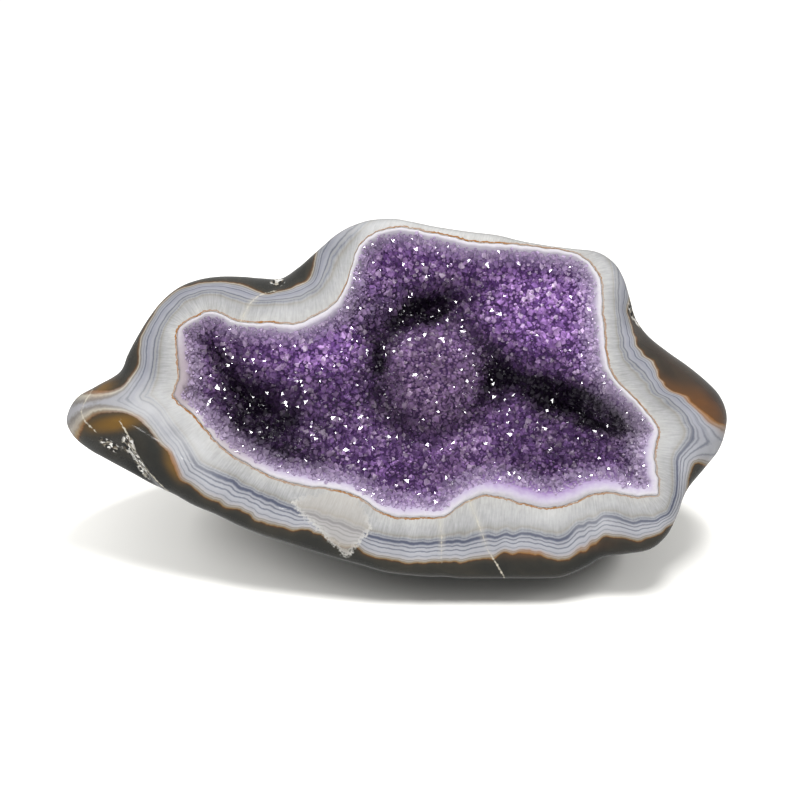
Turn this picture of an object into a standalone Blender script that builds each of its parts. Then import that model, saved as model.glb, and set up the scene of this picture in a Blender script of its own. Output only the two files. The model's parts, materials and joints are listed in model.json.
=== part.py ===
"""Amethyst cluster: a polished agate freeform whose open hollow is lined with amethyst points.

Two solids. agate_shell is the banded agate with its chalcedony skin, and it carries the hollow
and the flat sawn under it. amethyst_crust is the layer of crystals that lines the hollow.

The outlines are in millimetres in the sight frame, which is how the stone is seen from the
front: x to the right, y up and z towards the eye. The whole stone is then leant back, so that
it lies on its sawn flat with the hollow facing forwards and up.
"""

import math
import random

import bmesh
import bpy
import numpy as np
from mathutils import Matrix, Vector, noise
from mathutils.geometry import delaunay_2d_cdt

MM = 0.001

# How the stone lies
SIGHT_ELEVATION = math.radians(28)  # the sight line comes down at this angle
FACE_LEAN = math.radians(18)  # the polished face leans back from square to the sight line
FLAT_BELOW_ORIGIN = 52.5  # the sawn flat, below the sight frame's origin
ORIGIN_X = -1.0  # the object's origin in the levelled frame, under the middle of its box
ORIGIN_Y = 15.0

# Stations round the stone, clockwise from the left tip. Each has the edge of the hollow (x, y),
# the outer silhouette (x, y), and how far the silhouette lies behind the face.
STATIONS = [
    (-72.5, 1.5, -108.0, -6.0, 14),
    (-72.0, 4.0, -105.0, 0.5, 13),
    (-71.0, 6.5, -98.5, 4.5, 12),
    (-71.0, 9.5, -91.0, 9.0, 11),
    (-71.5, 14.0, -88.5, 14.5, 10),
    (-72.0, 19.0, -86.0, 19.5, 9),
    (-71.5, 23.0, -82.0, 26.5, 9),
    (-69.0, 25.5, -77.5, 32.5, 9),
    (-65.5, 27.0, -72.0, 37.0, 9),
    (-62.5, 28.5, -65.5, 39.5, 9),
    (-59.5, 28.5, -59.0, 40.5, 10),
    (-54.0, 26.0, -52.0, 40.5, 11),
    (-48.5, 25.0, -45.5, 40.0, 12),
    (-41.5, 25.0, -39.0, 40.0, 13),
    (-33.5, 24.5, -33.5, 43.5, 12),
    (-28.0, 27.0, -29.5, 47.0, 11),
    (-22.5, 30.0, -25.5, 50.5, 10),
    (-18.5, 35.0, -21.5, 54.0, 9),
    (-16.5, 40.5, -17.5, 56.5, 8),
    (-15.0, 46.5, -14.0, 58.0, 8),
    (-13.0, 50.5, -10.5, 59.0, 7),
    (-9.0, 54.0, -6.5, 59.5, 7),
    (-3.5, 56.0, -1.5, 59.5, 6),
    (2.5, 56.0, 4.0, 58.5, 6),
    (10.0, 54.5, 11.0, 57.0, 6),
    (15.5, 53.5, 17.0, 56.0, 6),
    (23.0, 51.5, 24.0, 55.0, 6),
    (31.0, 51.0, 32.0, 54.0, 6),
    (39.0, 50.5, 40.0, 52.0, 6),
    (47.0, 49.5, 48.5, 50.5, 6),
    (54.5, 48.5, 56.5, 49.5, 6),
    (59.5, 46.5, 64.5, 48.5, 7),
    (63.0, 43.0, 70.0, 45.0, 8),
    (65.0, 39.0, 73.0, 40.0, 8),
    (65.5, 33.0, 75.0, 33.5, 9),
    (65.5, 26.5, 77.0, 27.0, 11),
    (66.0, 20.0, 81.0, 21.0, 13),
    (66.5, 13.5, 87.0, 16.0, 15),
    (68.5, 7.5, 94.0, 11.0, 16),
    (72.0, 3.5, 100.0, 6.0, 17),
    (76.0, -0.5, 104.0, 1.5, 17),
    (80.0, -5.5, 106.0, -4.0, 16),
    (82.5, -9.5, 105.5, -9.5, 15),
    (81.5, -14.5, 103.0, -16.0, 14),
    (81.0, -18.5, 98.0, -22.0, 13),
    (81.5, -23.0, 93.0, -27.5, 12),
    (82.0, -26.5, 90.5, -31.5, 11),
    (81.5, -30.0, 88.5, -36.5, 10),
    (78.0, -30.5, 85.0, -43.0, 10),
    (73.5, -30.5, 79.5, -47.5, 10),
    (68.0, -29.5, 71.5, -49.0, 10),
    (62.5, -29.5, 64.5, -50.0, 10),
    (57.0, -31.5, 59.0, -53.0, 10),
    (51.5, -33.5, 51.5, -56.0, 10),
    (45.0, -34.0, 44.5, -56.5, 10),
    (38.5, -32.5, 37.0, -56.5, 10),
    (33.0, -31.0, 31.0, -56.5, 10),
    (28.0, -30.0, 24.5, -56.5, 10),
    (22.0, -31.5, 19.0, -56.5, 10),
    (17.5, -34.5, 14.0, -56.0, 10),
    (13.5, -37.0, 9.0, -56.0, 10),
    (6.5, -37.0, 2.5, -55.5, 10),
    (-0.5, -37.0, -5.0, -54.5, 10),
    (-6.5, -35.0, -12.0, -52.5, 10),
    (-12.5, -31.0, -19.5, -50.5, 10),
    (-19.5, -28.5, -28.0, -48.0, 10),
    (-28.0, -27.5, -36.0, -45.5, 10),
    (-35.5, -26.0, -44.0, -43.0, 10),
    (-41.5, -24.0, -51.5, -40.0, 10),
    (-47.5, -21.0, -59.0, -36.5, 11),
    (-53.5, -17.5, -66.5, -33.5, 12),
    (-58.5, -13.5, -73.0, -30.0, 13),
    (-61.5, -10.0, -80.0, -27.5, 14),
    (-64.5, -6.5, -87.5, -23.5, 14),
    (-67.0, -4.0, -95.0, -19.5, 14),
    (-69.5, -2.0, -101.0, -16.0, 14),
    (-71.5, 0.0, -106.0, -11.5, 14),
]

# The shell
SPOKES = 116  # points round each ring of the loft
FACE_STEPS = (0.0, 0.24, 0.48, 0.7, 0.87, 0.97, 1.0)  # from the hollow's edge to the silhouette
FACE_WAVE = 1.6  # of the polished face, which isn't quite flat
FACE_WAVE_SPACING = 38.0
FACE_WAVE_SEED = 3.0
EDGE_ROUNDING = 3  # the face rolls over late, near the silhouette
BACK_STEPS = 9  # rings from the silhouette to the back
BACK_MIDDLE = Vector((2.0, -4.0))  # where the back is deepest, seen from the front
BACK_DEPTH = -64.0  # z of the deepest point of the back
BACK_FULLNESS = 0.86  # under 1 makes the back fuller than an ellipsoid
LUMP_HEIGHT = 2.6  # of the nodules on the hidden back
LUMP_SPACING = 26.0
LUMP_SEED = 5.0
LUMP_FADE = 3  # rings from the silhouette over which the nodules reach their height

# The fold under the left tip, where one lobe stands in front of the next
FOLD_LINE = [(-89.0, -7.5), (-86.5, -12.0), (-84.5, -17.0), (-80.5, -23.0), (-76.5, -27.0), (-72.0, -32.0)]
FOLD_DROP = 9.0
FOLD_WIDTH = 2.5
FOLD_START = 0.1  # share of the drop at the line's upper end, and how fast it grows along it
FOLD_GROWTH = 1.4

# Dents of the polished surface: middle x, y, half-lengths, turn in degrees, depth
DENTS = [
    (-92.8, -15.4, 4.5, 3.0, 20, 2.5),  # the rough pits under the left tip
    (-82.6, -21.4, 5.5, 3.0, -60, 2.0),
    (-40.3, 37.0, 3.5, 3.0, 0, 2.5),  # the notch of the upper edge
    (-30.0, 41.5, 5.5, 2.8, 75, 3.0),  # the dimple to its right
    (76.8, 25.0, 7.5, 3.2, -63, 3.5),  # the broken hollow at the right
]

# The hollow
EDGE_BAND = 2.9  # width of the crust's polished edge
FOOT_INSET = 1.4  # of the crust's underside from the edge, where the wall starts steeply
WALL_DEPTH = 17.0  # depth that the hollow tends to, away from its lumps and pits
WALL_RUN = 9.0  # distance from the edge over which most of that depth is reached
RELIEF_RUN = 14.0  # distance over which the lumps and pits reach theirs
LEAST_SLOPE = 0.6  # of the lining near the edge
EDGE_ZONE = 5.0  # how far in that slope holds
FLOOR_WAVE = 1.3
FLOOR_WAVE_SPACING = 9.0
FLOOR_WAVE_SEED = 11.0

# Lumps and pits of the hollow: middle x, y, half-lengths, turn in degrees, depth added at the
# middle, and how flat its top is (1 round, 2 flat)
RELIEF = [
    (10.0, 8.5, 16.5, 16.5, 0, -23.0, 1.6),  # the round knob in the middle
    (10.0, 8.5, 23.0, 23.0, 0, 7.0, 3.0),  # the ditch round the knob
    (10.0, 31.0, 14.0, 5.5, 28, 12.0, 1.0),  # the pit above the knob
    (-8.0, 16.0, 5.0, 12.0, 25, 5.0, 1.0),  # the cleft on the knob's left
    (32.0, 6.0, 8.0, 10.0, 0, 5.0, 1.0),  # the cleft on its right
    (49.0, 29.0, 24.0, 19.0, 0, -8.0, 1.0),  # the slope at the upper right
    (62.0, -2.5, 21.0, 5.5, -16, 15.0, 1.0),  # the pit under that slope
    (50.0, -18.0, 24.0, 9.0, 0, -5.0, 1.0),  # the floor at the lower right
    (-28.0, 14.0, 19.0, 11.0, 0, -6.0, 1.0),  # the slope at the upper left
    (-46.0, 0.0, 14.0, 8.0, -30, 10.0, 1.0),  # the pit at the left
    (-58.0, 14.0, 3.5, 11.0, 30, 8.0, 1.0),  # the cleft above it
    (-35.0, -14.0, 11.0, 5.0, -10, -6.0, 1.0),  # the lumps on the floor at the left
    (-3.0, -17.0, 15.0, 7.0, 0, -4.0, 1.0),
]

# The crystals
CRUST_THICKNESS = 4.6  # along the sight line
POINT_SPACING = 4.3
POINT_HEIGHT = (1.5, 2.9)
POINT_TILT = 0.35  # sideways lean of a point, as a share of its height
POINT_SHIFT = 0.28  # how far the feet and tips leave the lattice, as a share of its pitch
LATTICE_TURN = 17  # degrees, of the rows of points
FOOT_CLEARANCE = 0.6  # of the outermost feet from the polished edge, as a share of the pitch
UNDERSIDE_SPACING = 6.2
UNDERSIDE_CLEARANCE = 0.45  # of the underside's points from its foot, as a share of their spacing
UNDERSIDE_INSET = 1.0  # how much earlier the lining starts its slope than its underside
SLOPE_REACH = 1.2  # over which a point's footing is levelled
CLOSEST = 1e-6  # points nearer than this are one
FIT_GAP = 0.4  # between the crust and the shell, sideways
BED_GAP = 0.8  # and along the sight line, where the hollow's walls are steep
SEED = 7


def clear_scene():
    for obj in list(bpy.data.objects):
        bpy.data.objects.remove(obj)


def stone_material(name, colour, roughness):
    material = bpy.data.materials.new(name)
    material.use_nodes = True
    shader = material.node_tree.nodes["Principled BSDF"]
    shader.inputs["Base Color"].default_value = (*colour, 1)
    shader.inputs["Roughness"].default_value = roughness
    shader.inputs["Metallic"].default_value = 0.0
    return material


def closed_spline(points, count):
    """Evenly numbered points of a closed Catmull-Rom curve through the given ones."""
    points = np.array(points, float)
    total = len(points)
    result = []
    for i in range(count):
        place = i * total / count
        k = int(place)
        t = place - k
        a, b, c, d = (points[(k + j) % total] for j in (-1, 0, 1, 2))
        curve = b + 0.5 * t * (c - a + t * (2 * a - 5 * b + 4 * c - d + t * (3 * (b - c) + d - a)))
        result.append(curve)
    return np.array(result)


def smoothstep(x):
    x = min(max(x, 0.0), 1.0)
    return x * x * (3 - 2 * x)


def soft_noise(x, y, z, spacing, seed=0.0):
    return noise.noise(Vector((x / spacing + seed, y / spacing, z / spacing)))


def face_height(x, y):
    """Height of the polished face over the sight plane."""
    wave = FACE_WAVE * soft_noise(x, y, 0, FACE_WAVE_SPACING, FACE_WAVE_SEED)
    return -math.tan(FACE_LEAN) * y + wave


def inside_distance(x, y, loop):
    """Distance from (x, y) to the closed loop, positive inside it."""
    start = loop
    end = np.roll(loop, -1, axis=0)
    run = end - start
    point = np.array((x, y))
    t = np.clip(((point - start) * run).sum(1) / (run * run).sum(1), 0, 1)
    gap = np.sqrt((((start + run * t[:, None]) - point) ** 2).sum(1)).min()
    crosses = (start[:, 1] > y) != (end[:, 1] > y)
    at = start[:, 0] + (y - start[:, 1]) * run[:, 0] / np.where(run[:, 1] == 0, 1e-9, run[:, 1])
    inside = np.count_nonzero(crosses & (at > x)) % 2 == 1
    return gap if inside else -gap


def spot(x, y, middle_x, middle_y, half_x, half_y, turn, flatness=1.0):
    """Bell shape round a middle: 1 there and near 0 past its half-lengths."""
    c = math.cos(math.radians(turn))
    s = math.sin(math.radians(turn))
    along = ((x - middle_x) * c + (y - middle_y) * s) / half_x
    across = ((y - middle_y) * c - (x - middle_x) * s) / half_y
    return math.exp(-((along * along + across * across) ** flatness))


def relief(x, y):
    """Depth that the lumps and pits of the hollow add at (x, y)."""
    return sum(depth * spot(x, y, *place, flatness) for *place, depth, flatness in RELIEF)


def dents(x, y):
    """Depth of the polished surface's dents at (x, y)."""
    return sum(depth * spot(x, y, *place) for *place, depth in DENTS)


def hollow_depth(x, y, distance):
    """Depth of the crystals' feet below the face, at this distance inside the crust's band."""
    if distance <= 0:
        return 0.0
    wall = 1 - math.exp(-distance / WALL_RUN)
    opening = smoothstep(distance / RELIEF_RUN)
    waves = FLOOR_WAVE * soft_noise(x, y, 0, FLOOR_WAVE_SPACING, FLOOR_WAVE_SEED)
    depth = WALL_DEPTH * wall + relief(x, y) * opening + waves * smoothstep(distance / EDGE_ZONE)
    return max(depth, LEAST_SLOPE * min(distance, EDGE_ZONE))


def lattice(spacing, loop, clearance, turn=0):
    """Points of a triangular lattice at least so far inside the loop: (x, y, in tip's place).

    Every third point is a tip's place, so that each of those has six others round it.
    """
    middle = loop.mean(0)
    reach = int(np.abs(loop - middle).max() * 1.3 / spacing) + 1
    c = math.cos(math.radians(turn))
    s = math.sin(math.radians(turn))
    points = []
    for row in range(-reach, reach + 1):
        for column in range(-reach, reach + 1):
            across = (column + 0.5 * (row % 2)) * spacing
            up = row * spacing * math.sqrt(3) / 2
            x = middle[0] + across * c - up * s
            y = middle[1] + across * s + up * c
            slant = column - (row - row % 2) // 2
            if inside_distance(x, y, loop) > clearance:
                points.append((x, y, (slant - row) % 3 == 0))
    return points


def fold_drop(x, y):
    """How far the lobe beyond the fold line lies behind the one in front of it."""
    best = None
    for i in range(len(FOLD_LINE) - 1):
        a = Vector(FOLD_LINE[i])
        run = Vector(FOLD_LINE[i + 1]) - a
        off = Vector((x, y)) - a
        t = min(max(off.dot(run) / run.length_squared, 0.0), 1.0)
        gap = (off - run * t).length
        side = run.x * off.y - run.y * off.x
        if best is None or gap < best[0]:
            best = (gap, side, (i + t) / (len(FOLD_LINE) - 1))
    gap, side, along = best
    if side > 0:
        return 0.0
    return FOLD_DROP * smoothstep(gap / FOLD_WIDTH) * smoothstep(FOLD_START + along * FOLD_GROWTH)


def shell_rings():
    """Rings of the shell's loft in the sight frame, from the hollow's edge to the back."""
    stations = closed_spline(STATIONS, SPOKES)
    rings = []
    for step in FACE_STEPS:
        ring = []
        for edge_x, edge_y, out_x, out_y, behind in stations:
            x = edge_x + (out_x - edge_x) * step
            y = edge_y + (out_y - edge_y) * step
            rounding = 1 - math.sqrt(1 - step**EDGE_ROUNDING)
            z = face_height(x, y) - behind * rounding - fold_drop(x, y) - dents(x, y)
            ring.append(Vector((x, y, z)))
        rings.append(ring)
    silhouette = rings[-1]
    for k in range(1, BACK_STEPS + 1):
        turn = math.radians(90) * k / (BACK_STEPS + 1)
        ring = []
        for point in silhouette:
            spread = math.cos(turn) ** BACK_FULLNESS
            x = BACK_MIDDLE.x + (point.x - BACK_MIDDLE.x) * spread
            y = BACK_MIDDLE.y + (point.y - BACK_MIDDLE.y) * spread
            z = point.z + (BACK_DEPTH - point.z) * math.sin(turn)
            lump = LUMP_HEIGHT * soft_noise(x, y, z, LUMP_SPACING, LUMP_SEED) * smoothstep(k / LUMP_FADE)
            outward = Vector((x - BACK_MIDDLE.x, y - BACK_MIDDLE.y, z)).normalized()
            ring.append(Vector((x, y, z)) + outward * lump)
        rings.append(ring)
    return rings


def underside_points(places):
    """Points on the crust's back over these places, measured from the hollow's foot."""
    points = []
    for x, y, distance in places:
        depth = CRUST_THICKNESS + hollow_depth(x, y, distance - UNDERSIDE_INSET)
        points.append(Vector((x, y, face_height(x, y) - depth)))
    return points


def underside(foot):
    """The crust's back over the whole foot of the wall, as (points, triangles)."""
    inner = lattice(UNDERSIDE_SPACING, foot, UNDERSIDE_CLEARANCE * UNDERSIDE_SPACING)
    flat = [Vector(p) for p in foot] + [Vector((p[0], p[1])) for p in inner]
    edges = [(i, (i + 1) % SPOKES) for i in range(SPOKES)]
    vertices, _, faces, _, _, _ = delaunay_2d_cdt(flat, edges, [], 1, CLOSEST)
    places = [(v.x, v.y, inside_distance(v.x, v.y, foot)) for v in vertices]
    return underside_points(places), faces


def add_faces(mesh, verts, faces):
    for face in faces:
        mesh.faces.new([verts[i] for i in face])


def bridge(mesh, first, second):
    count = len(first)
    for i in range(count):
        j = (i + 1) % count
        mesh.faces.new((first[i], first[j], second[j], second[i]))


def lay_down(mesh):
    """Turns the mesh from the sight frame, in millimetres, to how it lies, in metres."""
    lean = Matrix.Rotation(math.radians(90) - SIGHT_ELEVATION, 4, "X")
    place = Matrix.Translation((-ORIGIN_X, -ORIGIN_Y, FLAT_BELOW_ORIGIN))
    mesh.transform(Matrix.Scale(MM, 4) @ place @ lean)


def finish_object(name, mesh, material, collection):
    bmesh.ops.recalc_face_normals(mesh, faces=mesh.faces)
    data = bpy.data.meshes.new(name)
    mesh.to_mesh(data)
    mesh.free()
    data.materials.append(material)
    obj = bpy.data.objects.new(name, data)
    collection.objects.link(obj)
    return obj


def moved_inwards(loop, distance):
    """The loop with every point moved inwards, square to the curve."""
    ahead = np.roll(loop, -1, axis=0) - np.roll(loop, 1, axis=0)
    ahead /= np.sqrt((ahead**2).sum(1))[:, None]
    inward = np.stack([ahead[:, 1], -ahead[:, 0]], axis=1)  # the loop runs clockwise
    return loop + inward * distance


def make_shell(foot, collection):
    mesh = bmesh.new()
    rings = [[mesh.verts.new(p) for p in ring] for ring in shell_rings()]
    for first, second in zip(rings, rings[1:]):
        bridge(mesh, first, second)
    back = mesh.verts.new((BACK_MIDDLE.x, BACK_MIDDLE.y, BACK_DEPTH))
    for i, vert in enumerate(rings[-1]):
        mesh.faces.new((vert, rings[-1][(i + 1) % SPOKES], back))
    points, faces = underside(foot)
    hollow = [mesh.verts.new(p - Vector((0, 0, BED_GAP))) for p in points]
    add_faces(mesh, hollow, faces)
    bridge(mesh, hollow[:SPOKES], rings[0])
    bmesh.ops.recalc_face_normals(mesh, faces=mesh.faces)
    lay_down(mesh)
    geometry = mesh.verts[:] + mesh.edges[:] + mesh.faces[:]
    cut = bmesh.ops.bisect_plane(
        mesh, geom=geometry, plane_co=(0, 0, 0), plane_no=(0, 0, -1), clear_outer=True
    )
    sawn = [e for e in cut["geom_cut"] if isinstance(e, bmesh.types.BMEdge)]
    bmesh.ops.contextual_create(mesh, geom=sawn)
    agate = stone_material("polished_agate", (0.42, 0.41, 0.40), 0.12)
    return finish_object("agate_shell", mesh, agate, collection)


def point_lattice(band):
    """The feet and tips of the crystals: lattice points, and which of them are tips."""
    pitch = POINT_SPACING / math.sqrt(3)
    chosen = random.Random(SEED)
    points = []
    tips = set()
    for x, y, is_tip in lattice(pitch, band, FOOT_CLEARANCE * pitch, LATTICE_TURN):
        if is_tip:
            tips.add(len(points))
        x += chosen.uniform(-POINT_SHIFT, POINT_SHIFT) * pitch
        y += chosen.uniform(-POINT_SHIFT, POINT_SHIFT) * pitch
        points.append((x, y))
    return points, tips


def surface_normal(x, y, band):
    """Direction square to the hollow's lining at (x, y)."""
    reach = SLOPE_REACH

    def height(px, py):
        return face_height(px, py) - hollow_depth(px, py, inside_distance(px, py, band))

    slope_x = (height(x + reach, y) - height(x - reach, y)) / (2 * reach)
    slope_y = (height(x, y + reach) - height(x, y - reach)) / (2 * reach)
    return Vector((-slope_x, -slope_y, 1)).normalized()


def make_crust(edge, foot, collection):
    outer = moved_inwards(edge, FIT_GAP)
    band = moved_inwards(edge, EDGE_BAND)
    base = [(x, y, FIT_GAP) for x, y in moved_inwards(foot, FIT_GAP)]
    points, tips = point_lattice(band)
    flat = [Vector(p) for p in outer] + [Vector(p) for p in band] + [Vector(p) for p in points]
    edges = [(i, (i + 1) % SPOKES) for i in range(SPOKES)]
    edges += [(SPOKES + a, SPOKES + b) for a, b in edges]
    vertices, _, faces, _, _, _ = delaunay_2d_cdt(flat, edges, [], 1, CLOSEST)
    chosen = random.Random(SEED + 1)
    mesh = bmesh.new()
    top = []
    for i, vertex in enumerate(vertices):
        x, y = vertex
        place = Vector((x, y, face_height(x, y)))
        distance = inside_distance(x, y, band)
        if i >= 2 * SPOKES and distance > 0:
            place.z -= hollow_depth(x, y, distance)
            if i - 2 * SPOKES in tips:
                up = surface_normal(x, y, band)
                lean = Vector([chosen.uniform(-POINT_TILT, POINT_TILT) for _ in range(3)])
                place += (up + lean).normalized() * chosen.uniform(*POINT_HEIGHT)
        top.append(mesh.verts.new(place))
    add_faces(mesh, top, faces)
    low_points, low_faces = underside(foot)
    low_points[:SPOKES] = underside_points(base)
    low = [mesh.verts.new(p) for p in low_points]
    add_faces(mesh, low, low_faces)
    bridge(mesh, low[:SPOKES], top[:SPOKES])
    lay_down(mesh)
    amethyst = stone_material("amethyst", (0.23, 0.10, 0.36), 0.15)
    return finish_object("amethyst_crust", mesh, amethyst, collection)


def main():
    clear_scene()
    collection = bpy.data.collections.new("amethyst_cluster")
    bpy.context.scene.collection.children.link(collection)
    edge = closed_spline(STATIONS, SPOKES)[:, :2]
    foot = moved_inwards(edge, FOOT_INSET)
    make_shell(foot, collection)
    make_crust(edge, foot, collection)


main()
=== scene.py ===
import json
import math
from functools import partial

import bmesh
import bpy
import numpy as np
from mathutils import Matrix, Vector, noise
from mathutils.geometry import delaunay_2d_cdt

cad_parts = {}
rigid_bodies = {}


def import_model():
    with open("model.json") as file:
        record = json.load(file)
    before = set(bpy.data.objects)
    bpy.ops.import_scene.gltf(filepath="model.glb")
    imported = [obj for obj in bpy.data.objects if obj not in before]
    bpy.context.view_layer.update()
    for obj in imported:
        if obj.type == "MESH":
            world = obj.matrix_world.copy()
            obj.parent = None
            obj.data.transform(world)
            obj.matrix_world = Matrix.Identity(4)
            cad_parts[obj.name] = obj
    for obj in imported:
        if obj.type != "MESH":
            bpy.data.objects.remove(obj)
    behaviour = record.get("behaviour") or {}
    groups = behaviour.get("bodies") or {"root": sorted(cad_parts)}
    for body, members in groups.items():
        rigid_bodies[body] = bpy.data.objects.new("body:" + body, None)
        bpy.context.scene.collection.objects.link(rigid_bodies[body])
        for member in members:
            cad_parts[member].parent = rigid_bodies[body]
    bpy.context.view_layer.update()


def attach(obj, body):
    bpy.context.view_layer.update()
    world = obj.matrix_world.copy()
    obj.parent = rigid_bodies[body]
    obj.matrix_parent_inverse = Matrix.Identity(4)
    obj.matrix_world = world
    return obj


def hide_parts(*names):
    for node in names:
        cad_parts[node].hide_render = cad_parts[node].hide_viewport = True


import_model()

mm = 0.001

# How the stone lies: it is drawn in the sight frame (x right, y up, z to the eye, in mm),
# then leant back by the sight line's elevation on to its sawn flat.
lie = {
    "sightElevation": 28,  # degrees
    "faceLean": 18,
    "flatBelow": 52.5,  # mm under the sight frame's origin
    "originX": -1.0,
    "originY": 15.0,
}

# Edge of the hollow (x, y), outer silhouette (x, y), and how far that lies behind the face
stations = [
    (-72.5, 1.5, -108, -6, 14), (-72, 4, -105, 0.5, 13), (-71, 6.5, -98.5, 4.5, 12), (-71, 9.5, -91, 9, 11),
    (-71.5, 14, -88.5, 14.5, 10), (-72, 19, -86, 19.5, 9), (-71.5, 23, -82, 26.5, 9),
    (-69, 25.5, -77.5, 32.5, 9), (-65.5, 27, -72, 37, 9), (-62.5, 28.5, -65.5, 39.5, 9),
    (-59.5, 28.5, -59, 40.5, 10), (-54, 26, -52, 40.5, 11), (-48.5, 25, -45.5, 40, 12),
    (-41.5, 25, -39, 40, 13), (-33.5, 24.5, -33.5, 43.5, 12), (-28, 27, -29.5, 47, 11),
    (-22.5, 30, -25.5, 50.5, 10), (-18.5, 35, -21.5, 54, 9), (-16.5, 40.5, -17.5, 56.5, 8),
    (-15, 46.5, -14, 58, 8), (-13, 50.5, -10.5, 59, 7), (-9, 54, -6.5, 59.5, 7), (-3.5, 56, -1.5, 59.5, 6),
    (2.5, 56, 4, 58.5, 6), (10, 54.5, 11, 57, 6), (15.5, 53.5, 17, 56, 6), (23, 51.5, 24, 55, 6),
    (31, 51, 32, 54, 6), (39, 50.5, 40, 52, 6), (47, 49.5, 48.5, 50.5, 6), (54.5, 48.5, 56.5, 49.5, 6),
    (59.5, 46.5, 64.5, 48.5, 7), (63, 43, 70, 45, 8), (65, 39, 73, 40, 8), (65.5, 33, 75, 33.5, 9),
    (65.5, 26.5, 77, 27, 11), (66, 20, 81, 21, 13), (66.5, 13.5, 87, 16, 15), (68.5, 7.5, 94, 11, 16),
    (72, 3.5, 100, 6, 17), (76, -0.5, 104, 1.5, 17), (80, -5.5, 106, -4, 16), (82.5, -9.5, 105.5, -9.5, 15),
    (81.5, -14.5, 103, -16, 14), (81, -18.5, 98, -22, 13), (81.5, -23, 93, -27.5, 12),
    (82, -26.5, 90.5, -31.5, 11), (81.5, -30, 88.5, -36.5, 10), (78, -30.5, 85, -43, 10),
    (73.5, -30.5, 79.5, -47.5, 10), (68, -29.5, 71.5, -49, 10), (62.5, -29.5, 64.5, -50, 10),
    (57, -31.5, 59, -53, 10), (51.5, -33.5, 51.5, -56, 10), (45, -34, 44.5, -56.5, 10),
    (38.5, -32.5, 37, -56.5, 10), (33, -31, 31, -56.5, 10), (28, -30, 24.5, -56.5, 10),
    (22, -31.5, 19, -56.5, 10), (17.5, -34.5, 14, -56, 10), (13.5, -37, 9, -56, 10),
    (6.5, -37, 2.5, -55.5, 10), (-0.5, -37, -5, -54.5, 10), (-6.5, -35, -12, -52.5, 10),
    (-12.5, -31, -19.5, -50.5, 10), (-19.5, -28.5, -28, -48, 10), (-28, -27.5, -36, -45.5, 10),
    (-35.5, -26, -44, -43, 10), (-41.5, -24, -51.5, -40, 10), (-47.5, -21, -59, -36.5, 11),
    (-53.5, -17.5, -66.5, -33.5, 12), (-58.5, -13.5, -73, -30, 13), (-61.5, -10, -80, -27.5, 14),
    (-64.5, -6.5, -87.5, -23.5, 14), (-67, -4, -95, -19.5, 14), (-69.5, -2, -101, -16, 14),
    (-71.5, 0, -106, -11.5, 14),
]

# Where the fibrous quartz ends and the blue-grey bands begin. Past the silhouette the lines go on
# as if the stone's side were unrolled flat.
bandStart = [
    (-82, 1), (-81, 2.5), (-79.5, 6.5), (-78.5, 13), (-78, 19.5), (-76, 25), (-70.5, 32), (-63.5, 35),
    (-58.5, 35), (-53.5, 33.5), (-48.5, 32), (-42, 32), (-35.5, 32.5), (-31, 33.5), (-26, 37.5),
    (-23.5, 42.5), (-22, 47), (-18, 52), (-13, 57), (-7, 63), (0, 66), (10, 66), (30, 63), (50, 60),
    (60, 57), (66, 52), (69.5, 45), (70, 39), (70, 33), (70.5, 26), (71, 19.5), (72, 15.5), (74.5, 11),
    (79, 7), (82, 2.5), (86, -0.5), (89.5, -4), (92, -8), (92.5, -11.5), (90, -15), (88, -17.5),
    (87.5, -20.5), (87.5, -25.5), (87, -30), (85, -35), (80.5, -37.5), (76, -38), (71, -37.5), (66.5, -36),
    (61.5, -37.5), (57, -39), (51, -43), (46.5, -43), (41, -41.5), (35, -42), (28.5, -42.5), (20.5, -43.5),
    (9.5, -44.5), (0, -44), (-6.5, -43), (-11, -41.5), (-17.5, -39), (-25.5, -36.5), (-33.5, -34),
    (-39.5, -31.5), (-44, -30), (-49, -27.5), (-55.5, -24), (-62, -21.5), (-64.5, -19.5), (-68.5, -13),
    (-73, -7.5), (-76, -3), (-79.5, 0),
]

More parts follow.
